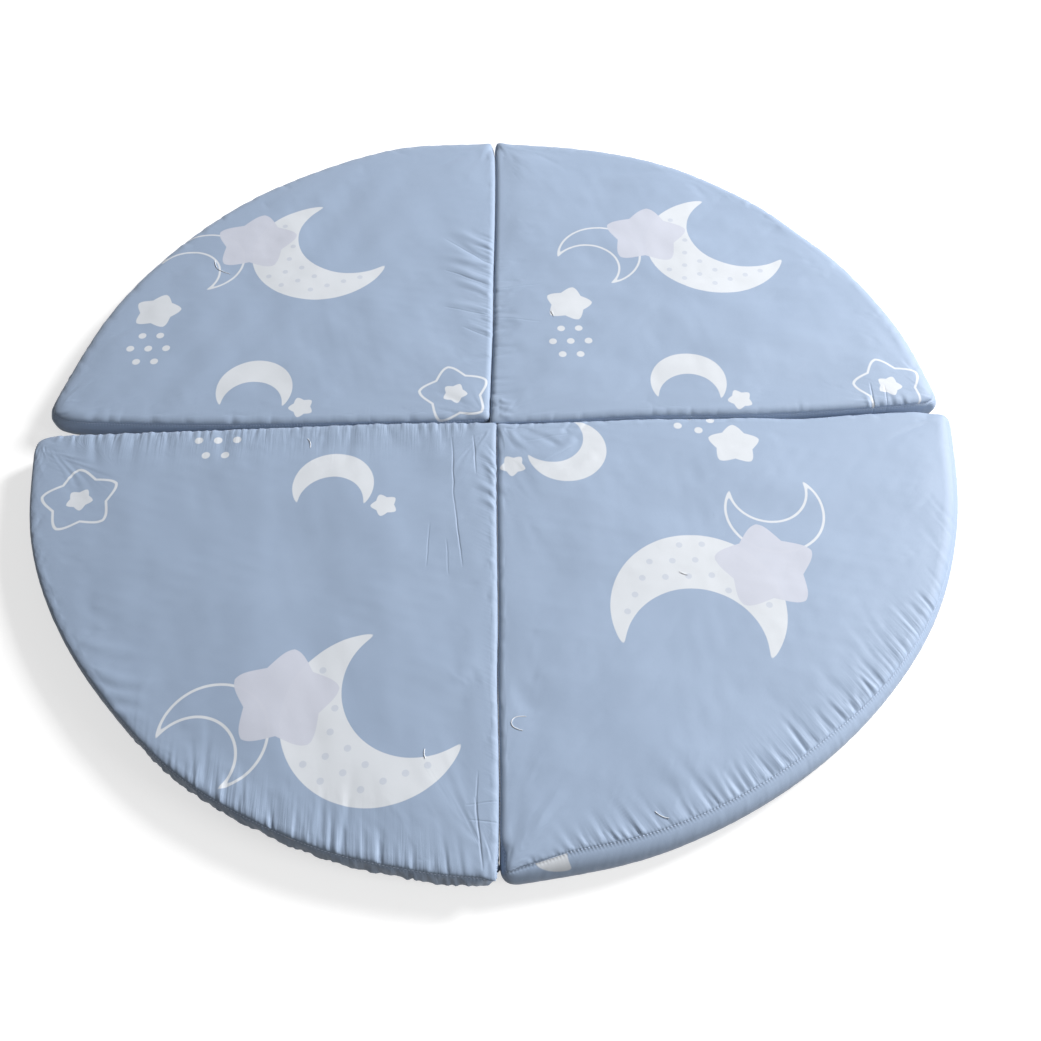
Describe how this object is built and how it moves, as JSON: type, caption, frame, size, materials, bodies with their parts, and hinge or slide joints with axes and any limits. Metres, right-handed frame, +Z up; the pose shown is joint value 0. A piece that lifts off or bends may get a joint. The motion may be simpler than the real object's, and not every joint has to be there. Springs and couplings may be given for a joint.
{
  "type": "play mat",
  "caption": "Round folding play mat of quarter pads, each a foam pad in a sewn cotton cover with rounded shoulders, gathers and a flat underside.",
  "frame": {"origin": "on the floor, under the middle of the mat's outline", "axes": "+Z up; +X to the right and +Y to the back, along the two splits between the pads"},
  "size_m": [1.3178, 1.3074, 0.049],
  "materials": {
    "cover": "smooth light blue cotton sateen with a pale print"
  },
  "bodies": {
    "root": {"pad_back_right": "cover", "pad_back_left": "cover", "pad_front_left": "cover", "pad_front_right": "cover"}
  },
  "joints": []
}
